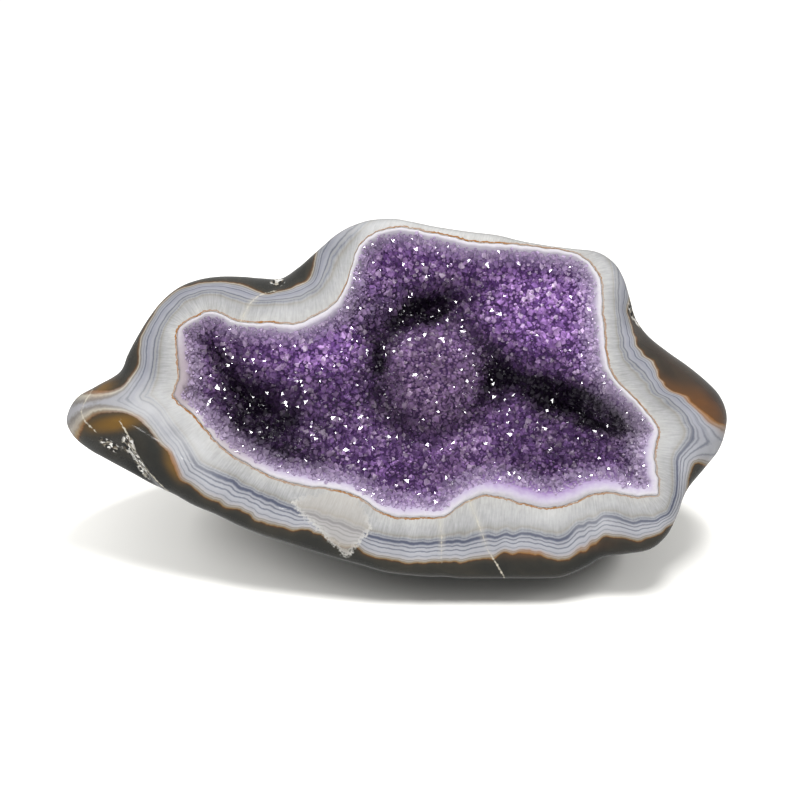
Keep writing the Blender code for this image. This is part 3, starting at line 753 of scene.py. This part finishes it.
def growCrystals(name, bed, tree, values):
    carrier = bpy.data.objects.new(name + "Carrier", bed.data.copy())
    bpy.context.scene.collection.objects.link(carrier)
    modifier = carrier.modifiers.new("scatter", "NODES")
    modifier.node_group = tree
    for item in tree.interface.items_tree:
        if item.in_out == "INPUT" and item.name in values:
            modifier[item.identifier] = values[item.name]
    graph = bpy.context.evaluated_depsgraph_get()
    data = bpy.data.meshes.new_from_object(carrier.evaluated_get(graph))
    data.name = name
    carrier.modifiers.remove(modifier)
    bpy.data.objects.remove(carrier)
    obj = bpy.data.objects.new(name, data)
    bpy.context.scene.collection.objects.link(obj)
    triangles = sum(len(face.vertices) - 2 for face in data.polygons)
    print(name, len(data.polygons), "faces,", triangles, "triangles")
    return obj


def buildCrystals(bed, material):
    kinds = bpy.data.collections.new("crystalKinds")
    for i, shape in enumerate(crystals["kinds"]):
        kind = quartzPoint(f"crystalKind{i}", *shape)
        bpy.context.scene.collection.objects.unlink(kind)
        kinds.objects.link(kind)
    tree = scatterTree(kinds, material)
    grown = [
        growCrystals("amethystDruse", bed, tree, druse),
        growCrystals("largerPoints", bed, tree, standouts),
    ]
    for kind in list(kinds.objects):
        bpy.data.objects.remove(kind)
    bpy.data.collections.remove(kinds)
    return grown


def newMaterial(name):
    material = bpy.data.materials.new(name)
    material.use_nodes = True
    tree = material.node_tree
    return material, partial(addNode, tree), tree.nodes["Principled BSDF"]


# Agate, ground and polished to a wet shine: fibrous quartz by the hollow, wavy blue-grey bands,
# a rusty line, then a dark chalcedony skin that is amber where the light gets through.
agate = {
    "fibrePitch": 0.5,  # mm between the quartz fibres
    "fibreLength": 4.0,
    "rustLine": 0.3,  # mm, middle of the rusty line from the hollow's edge
    "rustHalfWidth": 0.26,
    "crackAndHighlightHalfWidth": 0.2,
    "lowerBands": 38 * mm,  # height up to which the bands are strong
    "upperBands": 52 * mm,  # height from which they are soft
    "amberLeft": "#6b4f22",
    "amberRight": "#664223",
    "roughness": 0.08,
    "brokenRoughness": 0.45,
    "ior": 1.54,
    "glow": 0.12,  # share of light that enters and comes out again
    "glowColour": (1.0, 0.8, 0.7),
    "glowDepth": 1.5 * mm,
    "grains": 1.1 * mm,  # in the broken pits
    "white": "#c4c4c4",
    "rusty": "#8a5c30",
    "line": "#8d6238",
    "milky": "#a6a19a",
    "speckles": "#bdbbb7",
    "crackAndHighlight": "#c2bcac",
    "brownSkin": "#38342c",
    # Noises: size in mm, detail, roughness, distortion
    "noises": {"crumbs": (1, 3, 0.5, 0), "clouds": (14, 5, 0.6, 0), "mottle": (20, 5, 0.6, 0.6)},
}
quartzStops = [
    (0.0, "#a8a6a2"), (0.12, "#a9a8a6"), (0.4, "#a2a2a2"), (0.62, "#9b9b9c"), (0.76, "#929291"),
    (0.84, "#87847f"), (0.88, "#8f8e8e"), (0.93, "#888a8e"), (0.965, "#6e717a"), (1.0, "#8c8d93"),
]
lowerBandStops = [
    (0.0, "#8c8d93"), (0.03, "#7d7f87"), (0.06, "#525564"), (0.13, "#4c5061"), (0.17, "#6f727d"),
    (0.21, "#96979e"), (0.25, "#8f9097"), (0.28, "#60636f"), (0.3, "#6a6d78"), (0.34, "#9b9ca2"),
    (0.42, "#9c9da3"), (0.46, "#676a76"), (0.48, "#71747e"), (0.52, "#a0a1a7"), (0.64, "#9b9ca2"),
    (0.68, "#787a82"), (0.71, "#9a9aa0"), (0.8, "#a3a1a3"), (0.84, "#7c7874"), (0.88, "#99938c"),
    (0.92, "#7d746b"), (0.95, "#857558"), (0.98, "#725439"), (1.0, "#563d28"),
]
upperBandStops = [
    (0.0, "#828386"), (0.04, "#8c8c8e"), (0.1, "#87888c"), (0.14, "#5c5f69"), (0.17, "#666870"),
    (0.2, "#888990"), (0.27, "#8f9096"), (0.4, "#858690"), (0.49, "#898a92"), (0.53, "#5b5f6b"),
    (0.56, "#6c6f79"), (0.6, "#909198"), (0.66, "#888990"), (0.69, "#6f717b"), (0.72, "#8e8f94"),
    (0.8, "#8b8b90"), (0.84, "#6e6964"), (0.87, "#827d77"), (0.91, "#aca698"), (0.94, "#7c6f60"),
    (0.97, "#6d553f"), (1.0, "#503c29"),
]
skinStops = [(0.0, "#46321f"), (0.02, "#33302a"), (0.06, "#282825"), (0.3, "#212120"), (1.0, "#1e1e1c")]


def agateMaterial():
    material, add, shader = newMaterial("polishedBandedAgate")
    coords = add("TexCoord", output="Object")
    unrolled = add("Attribute", (), "Vector", attribute_name="unrolled")
    reach = add("SeparateXYZ", (unrolled,), "Z")
    plainLayer = add("Attribute", (), "Fac", attribute_name="layer")
    marks = add("Attribute", (), "Vector", attribute_name="marks")
    crackAndHighlightSide, crackAndHighlightNear, patchDepth = add("SeparateXYZ", (marks,)).node.outputs
    tones = add("Attribute", (), "Vector", attribute_name="tones")
    amberShare, roughShare, whiteAndSheenShare = add("SeparateXYZ", (tones,)).node.outputs

    noises = []
    for size, detail, roughness, distortion in agate["noises"].values():
        place = scaled(coords, 1 / (size * mm))
        look = {"Vector": place, "Scale": 1, "Detail": detail, "Roughness": roughness}
        noises.append(add("TexNoise", {**look, "Distortion": distortion}))
    crumbs, clouds, mottle = noises

    # All the bands waver together round the stone; this adds the finest waver
    fineWaver = add("MapRange", (crumbs, 0.3, 0.7, -0.012, 0.012))
    layer = plus(plainLayer, fineWaver)

    # Quartz, with fibres that run from the hollow outwards
    fibreScale = (1 / agate["fibrePitch"], 1 / agate["fibrePitch"], 1 / agate["fibreLength"])
    fibrePlace = add("VectorMath", (unrolled, fibreScale), operation="MULTIPLY")
    fibres = add("TexNoise", {"Vector": fibrePlace, "Scale": 1.0, "Detail": 2.0, "Roughness": 0.6})
    quartz = add("ValToRGB", (layer,), stops=quartzStops)
    fibreTone = add("MapRange", (fibres, 0.3, 0.7, 0.85, 1.11))
    cloudTone = add("MapRange", (clouds, 0.3, 0.7, 0.84, 1.08))
    crumbTone = add("MapRange", (crumbs, 0.3, 0.7, 0.95, 1.04))
    quartzTone = times(fibreTone, crumbTone)
    quartz = scaled(quartz, quartzTone)
    bands = add("Math", (layer, 1.0), operation="SUBTRACT")
    lowerBands = add("ValToRGB", (bands,), stops=lowerBandStops)
    upperBands = add("ValToRGB", (bands,), stops=upperBandStops)
    height = add("SeparateXYZ", (coords,), "Z")
    upper = add("MapRange", (height, agate["lowerBands"], agate["upperBands"]))
    bands = blend(upper, lowerBands, upperBands)
    outside = add("Math", (layer, 1.0), operation="GREATER_THAN")
    colour = blend(outside, quartz, bands)
    colour = scaled(colour, cloudTone)
    # Whiter quartz in places, and a painted sheen on the top and the upper right rim
    whiterAndSheen = times(whiteAndSheenShare, clouds)

    # The dark skin, amber in places
    skinDepth = add("MapRange", (layer, 2.0, 5.0))
    skin = add("ValToRGB", (skinDepth,), stops=skinStops)
    brownShare = add("MapRange", (mottle, 0.42, 0.7, 0.0, 0.6))
    skin = blend(brownShare, skin, srgb(agate["brownSkin"]))
    patchy = add("MapRange", (mottle, 0.35, 0.6, 0.7, 1.1))
    amber = times(amberShare, patchy, use_clamp=True)
    lastBand = add("MapRange", (layer, 1.72, 1.88, 0.0, 0.85))
    rusty = times(amber, lastBand)
    sideways = add("SeparateXYZ", (coords,), "X")
    rightShare = add("MapRange", (sideways, -0.03, 0.03))
    amberColour = blend(rightShare, srgb(agate["amberLeft"]), srgb(agate["amberRight"]))
    skin = blend(amber, skin, amberColour)
    inSkin = add("MapRange", (layer, 1.985, 2.015))

    # The rusty line round the hollow, broken and uneven
    lineShift = add("MapRange", (crumbs, 0.3, 0.7, -0.25, 0.25))
    lineReach = plus(reach, lineShift)
    lineGap = add("Math", (lineReach, agate["rustLine"], agate["rustHalfWidth"]), operation="COMPARE")
    lineStrength = add("MapRange", (clouds, 0.35, 0.6, 0.35, 1.0))
    line = times(lineGap, lineStrength)

    # The milky patch with its crumbly edge
    crumble = add("MapRange", (crumbs, 0.2, 0.8, -1.3, 1.3))
    patch = plus(patchDepth, crumble)
    patchShare = add("MapRange", (patch, -0.2, 0.8, 0.0, 0.5))
    patchEdge = add("Math", (patch, 0.3), operation="SUBTRACT")
    patchEdge = add("Math", (patchEdge,), operation="ABSOLUTE")
    patchEdge = add("MapRange", (patchEdge, 1.0, 0.0, 0.0, 0.8))
    patchOpen = add("MapRange", (layer, 0.3, 0.75))
    patchEdge = times(patchEdge, patchOpen)
    speckled = times(patchEdge, crumbs)
    speckled = times(speckled, 1.6, use_clamp=True)

    # Cracks, and a painted highlight along the ridge of the fold: thin pale lines
    crackAndHighlightGap = add("Math", (crackAndHighlightSide,), operation="ABSOLUTE")
    crackAndHighlightWaver = add("MapRange", (crumbs, 0.3, 0.7, -0.2, 0.35))
    crackAndHighlightGap = plus(crackAndHighlightGap, crackAndHighlightWaver)
    crackAndHighlight = add("MapRange", (crackAndHighlightGap, 2 * agate["crackAndHighlightHalfWidth"], 0.0))
    # full strength in the skin, which the painted highlight on the fold's ridge crosses
    crackAndHighlightStrength = add("MapRange", (layer, 1.8, 2.1, 0.6, 1.0))
    crackAndHighlight = times(crackAndHighlight, crackAndHighlightStrength)
    hazeStrength = add("MapRange", (layer, 1.2, 1.9, 0.17, 0.0))
    haze = add("MapRange", (crackAndHighlightNear, 0.2, 1.0, 0.0, hazeStrength))
    crackAndHighlight = add("Math", (crackAndHighlight, haze), operation="MAXIMUM")
    crackAndHighlight = times(crackAndHighlight, crackAndHighlightNear)

    # Broken pits show white and black grains
    pit = add("MapRange", (roughShare, 0.35, 0.6))
    grainPlace = scaled(coords, 1 / agate["grains"])
    grains = add("TexVoronoi", {"Vector": grainPlace, "Scale": 1.0}, "Color")
    grains = add("ValToRGB", (grains,), stops=[
        (0.0, "#11100f"), (0.42, "#23211d"), (0.5, "#5d5344"), (0.6, "#a19c90"), (0.7, "#d5d3cf"),
    ])
    gloss = add("MapRange", {0: pit, 3: agate["roughness"], 4: agate["brokenRoughness"]})

    # Each colour covers those before it by its share
    covers = (
        (whiterAndSheen, srgb(agate["white"])), (rusty, srgb(agate["rusty"])), (inSkin, skin),
        (line, srgb(agate["line"])), (patchShare, srgb(agate["milky"])),
        (speckled, srgb(agate["speckles"])), (crackAndHighlight, srgb(agate["crackAndHighlight"])), (pit, grains),
    )
    for share, cover in covers:
        colour = blend(share, colour, cover)
    feed(shader, {
        "Base Color": colour, "Roughness": gloss, "IOR": agate["ior"], "Subsurface Weight": agate["glow"],
        "Subsurface Radius": agate["glowColour"], "Subsurface Scale": agate["glowDepth"],
    })
    return material


# Amethyst druse: glassy violet points on a darker bed; the cut edge of the crust is polished and
# fades from white quartz through lavender to violet.
# Points and bed are darkened with depth and in listed zones as painted shade, and lightened in others as
# painted light.
amethyst = {
    "ior": 1.544,
    "roughness": 0.05,
    "transmission": 0.25,
    "paintedShadeDarkest": "#1a1121",
    "greyest": "#a8929f",
    "frosted": "#e6dcec",
    "byTheEdge": "#c6b6d2",
    "byTheEdgeReach": 6.5,  # mm
    "zoneSize": 7 * mm,  # of lighter and darker patches
    "bedRoughness": 0.55,
    "bedDark": "#0e0615",
    "bedLight": "#3f2353",
    "edgeRoughness": 0.08,
    "edgeGrey": "#86787a",
    "edgeFade": 5.0,  # mm from the stone to violet
    "edgeCrumbs": 1.2 * mm,
}
pointStops = [
    (0.0, "#63407f"), (0.3, "#8560a0"), (0.6, "#a078b8"), (0.85, "#bd99cf"), (1.0, "#e2cde9"),
]
edgeStops = [
    (0.0, "#b0acae"), (0.1, "#c0bdc2"), (0.3, "#b4aeba"), (0.55, "#aa9fb6"), (0.8, "#9a88aa"),
    (1.0, "#84699a"),
]


def pointMaterial():
    material, add, shader = newMaterial("amethystCrystal")
    coords = add("TexCoord", output="Object")
    shade = add("Attribute", (), "Fac", attribute_name="shade")
    place = add("Attribute", (), "Vector", attribute_name="place")
    inside = add("SeparateXYZ", (place,), "X")
    paintedLightGreyFrost = add("Attribute", (), "Vector", attribute_name="paintedLightGreyFrost")
    paintedLightShade, grey, frost = add("SeparateXYZ", (paintedLightGreyFrost,)).node.outputs
    zonePlace = scaled(coords, 1 / amethyst["zoneSize"])
    zones = add("TexNoise", {"Vector": zonePlace, "Scale": 1.0, "Detail": 3.0})
    colour = add("ValToRGB", (shade,), stops=pointStops)

    # Each facet has its own depth of colour, and the heart of a point is darker than its edges
    facet = add("Attribute", (), "Fac", attribute_name="facet")
    rise = add("Attribute", (), "Fac", attribute_name="rise")
    heart = add("MapRange", (rise, 0.1, 0.9, 1.25, 0.75))
    facetTone = add("MapRange", {0: facet, 3: 0.6, 4: 1.35})
    facetTone = times(facetTone, heart)
    colour = scaled(colour, facetTone)
    greyShare = times(grey, 0.45)
    colour = blend(greyShare, colour, srgb(amethyst["greyest"]))
    # Painted shade: the point goes towards the darkest colour where its painted light is low, shifted by
    # random zones
    zoneShift = add("MapRange", (zones, 0.3, 0.7, -0.12, 0.12))
    paintedLightWithZones = plus(paintedLightShade, zoneShift, use_clamp=True)
    colour = blend(paintedLightWithZones, srgb(amethyst["paintedShadeDarkest"]), colour)
    frosted = times(frost, facet)
    colour = blend(frosted, colour, srgb(amethyst["frosted"]))
    pale = add("MapRange", (inside, amethyst["byTheEdgeReach"], 0.0, 0.0, 0.75))
    colour = blend(pale, colour, srgb(amethyst["byTheEdge"]))
    feed(shader, {
        "Base Color": colour, "Roughness": amethyst["roughness"], "IOR": amethyst["ior"],
        "Transmission Weight": amethyst["transmission"],
    })
    return material


def bedMaterial():
    material, add, shader = newMaterial("amethystCrust")
    coords = add("TexCoord", output="Object")
    place = add("Attribute", (), "Vector", attribute_name="place")
    inside, _, reach = add("SeparateXYZ", (place,)).node.outputs
    paintedLightGreyFrost = add("Attribute", (), "Vector", attribute_name="paintedLightGreyFrost")
    paintedLightShade, grey, _ = add("SeparateXYZ", (paintedLightGreyFrost,)).node.outputs
    finePlace = scaled(coords, 1 / amethyst["edgeCrumbs"])
    fine = add("TexNoise", {"Vector": finePlace, "Scale": 1.0, "Detail": 3.0})
    shift = add("MapRange", (fine, 0.2, 0.8, -0.6, 0.6))
    uneven = plus(reach, shift)
    across = add("MapRange", (uneven, 0.0, amethyst["edgeFade"]))
    edge = add("ValToRGB", (across,), stops=edgeStops)
    greyShare = times(grey, 0.7)
    edge = blend(greyShare, edge, srgb(amethyst["edgeGrey"]))
    # Painted shade: the bed is darker where the hollow is deep and in the shaded zones, lighter in the lit
    # ones
    deep = blend(paintedLightShade, srgb(amethyst["bedDark"]), srgb(amethyst["bedLight"]))
    onBed = add("MapRange", (inside, 0.5, 6.0))
    colour = blend(onBed, edge, deep)
    gloss = add("MapRange", (inside, 0.0, 0.6, amethyst["edgeRoughness"], amethyst["bedRoughness"]))
    feed(shader, {"Base Color": colour, "Roughness": gloss, "IOR": amethyst["ior"]})
    return material


def finishPiece(obj, material):
    obj.data.materials.clear()
    obj.data.materials.append(material)
    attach(obj, "root")
    return obj


def buildStone():
    shell = finishPiece(buildShell(), agateMaterial())
    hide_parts("agate_shell")
    print("shell:", len(shell.data.polygons), "faces")
    bed = buildBed()
    crystalLook = pointMaterial()
    grown = [finishPiece(piece, crystalLook) for piece in buildCrystals(bed, crystalLook)]
    finishPiece(bed, bedMaterial())
    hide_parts("amethyst_crust")
    print("bed:", len(bed.data.polygons), "faces")
    return grown, [shell, bed]


# The studio: a white sweep, soft lights that leave no glare on the polish, small lamps that only
# the crystals mirror, for their glints, and narrow window panes that only the polish mirrors. The
# front light leaves out the floor, so that the shadow under the stone stays deep, and two low
# lamps lighten its ends.
studio = {
    "cameraDistance": 960,  # mm
    "lens": 135,
    "floorSize": 6.0,  # m
    "paper": "#f5f4f0",
    "worldStrength": 0.36,
    # name: place (m), size (m), watts, what it lights
    "lights": {
        "topLight": ((0.15, 0.15, 1.1), (0.5, 0.35), 14.0, "all"),
        "frontLight": ((-0.35, -1.15, 0.6), (0.5, 0.4), 10.0, "stone"),
        "floorLeft": ((-0.26, 0.03, 0.12), (0.1, 0.1), 0.62, "floor"),
        "floorRight": ((0.26, 0.0, 0.12), (0.1, 0.1), 0.34, "floor"),
    },
    # Lamps that only the crystals mirror, at these places (m)
    "glints": [
        (-0.3, -0.8, 0.83), (0.35, -0.5, 0.95), (0.0, 0.1, 1.1), (0.1, -0.9, 0.6), (-0.6, -0.3, 0.8),
        (0.7, -0.7, 0.5),
    ],
    "glintSize": 0.15,  # m
    "glintWatts": 3.2,
    # Window panes, each mirrored in one place of the polish. name: place (m), size (m), aim (m)
    "paneSpread": 1.2,  # degrees
    "panes": {
        "foldPane": ((-0.29, -0.79, 0.79), (0.1, 0.2), (-0.0765, -0.019, 0.031)),
        "edgePane": ((0.18, -0.35, 1.08), (0.1, 0.1), (0.05, -0.03, 0.03)),
        "topPane": ((-0.02, -0.5, 1.05), (0.02, 0.03), (-0.017, 0.0, 0.085)),
    },
    "paneWatts": 0.006,  # for a square metre
}


def addLamp(name, place, size, watts, aim):
    light = bpy.data.lights.new(name, "AREA")
    light.shape = "RECTANGLE"
    light.size, light.size_y = size
    light.energy = watts
    lamp = bpy.data.objects.new(name, light)
    lamp.location = place
    lamp.rotation_euler = (aim - Vector(place)).to_track_quat("-Z", "Y").to_euler()
    bpy.context.scene.collection.objects.link(lamp)
    return lamp


def buildStudio(crystalPieces, stonePieces):
    scene = bpy.context.scene
    mesh = bmesh.new()
    half = studio["floorSize"] / 2
    corners = ((-half, -half, 0), (half, -half, 0), (half, half, 0), (-half, half, 0))
    mesh.faces.new([mesh.verts.new(corner) for corner in corners])
    floor = toObject("whiteFloor", mesh)
    material, _, shader = newMaterial("whitePaper")
    feed(shader, {"Base Color": srgb(studio["paper"]), "Roughness": 0.9, "Specular IOR Level": 0.1})
    floor.data.materials.append(material)
    floor.visible_glossy = False  # the sweep is far brighter than what a real one shows in the polish

    scene.view_settings.view_transform = "Standard"  # the white sweep is pure white
    world = bpy.data.worlds.new("studioWhite")
    scene.world = world
    world.use_nodes = True
    back = world.node_tree.nodes["Background"]
    back.inputs["Color"].default_value = (1, 1, 1, 1)
    back.inputs["Strength"].default_value = studio["worldStrength"]

    target = Vector((0, 0, 0.05))
    pieces = crystalPieces + stonePieces
    receivers = {"crystals": crystalPieces, "stone": pieces, "polish": stonePieces, "floor": [floor]}
    lit = {}
    for name, members in receivers.items():
        lit[name] = bpy.data.collections.new(name)
        for piece in members:
            lit[name].objects.link(piece)
    for name, (place, size, watts, receiver) in studio["lights"].items():
        lamp = addLamp(name, place, size, watts, target)
        lamp.visible_glossy = False
        lamp.light_linking.receiver_collection = lit.get(receiver)
    for k, place in enumerate(studio["glints"]):
        lamp = addLamp(f"glint{k}", place, (studio["glintSize"],) * 2, studio["glintWatts"], target)
        lamp.visible_diffuse = False
        lamp.visible_transmission = False
        lamp.light_linking.receiver_collection = lit["crystals"]
    for name, (place, size, aim) in studio["panes"].items():
        watts = studio["paneWatts"] * size[0] * size[1]
        lamp = addLamp(name, place, size, watts, Vector(aim))
        lamp.data.spread = math.radians(studio["paneSpread"])
        lamp.light_linking.receiver_collection = lit["polish"]

    camera = bpy.data.objects.new("camera", bpy.data.cameras.new("camera"))
    camera.data.lens = studio["lens"]
    camera.data.sensor_width = 36
    camera.data.clip_start = 0.01
    middle = Vector((-lie["originX"], -lie["originY"], lie["flatBelow"])) * mm
    elevation = math.radians(lie["sightElevation"])
    sight = Vector((0, -math.cos(elevation), math.sin(elevation)))
    camera.location = middle + sight * studio["cameraDistance"] * mm
    camera.rotation_euler = (math.radians(90) - elevation, 0, 0)
    scene.collection.objects.link(camera)
    scene.camera = camera


buildStudio(*buildStone())
print("studio ready")
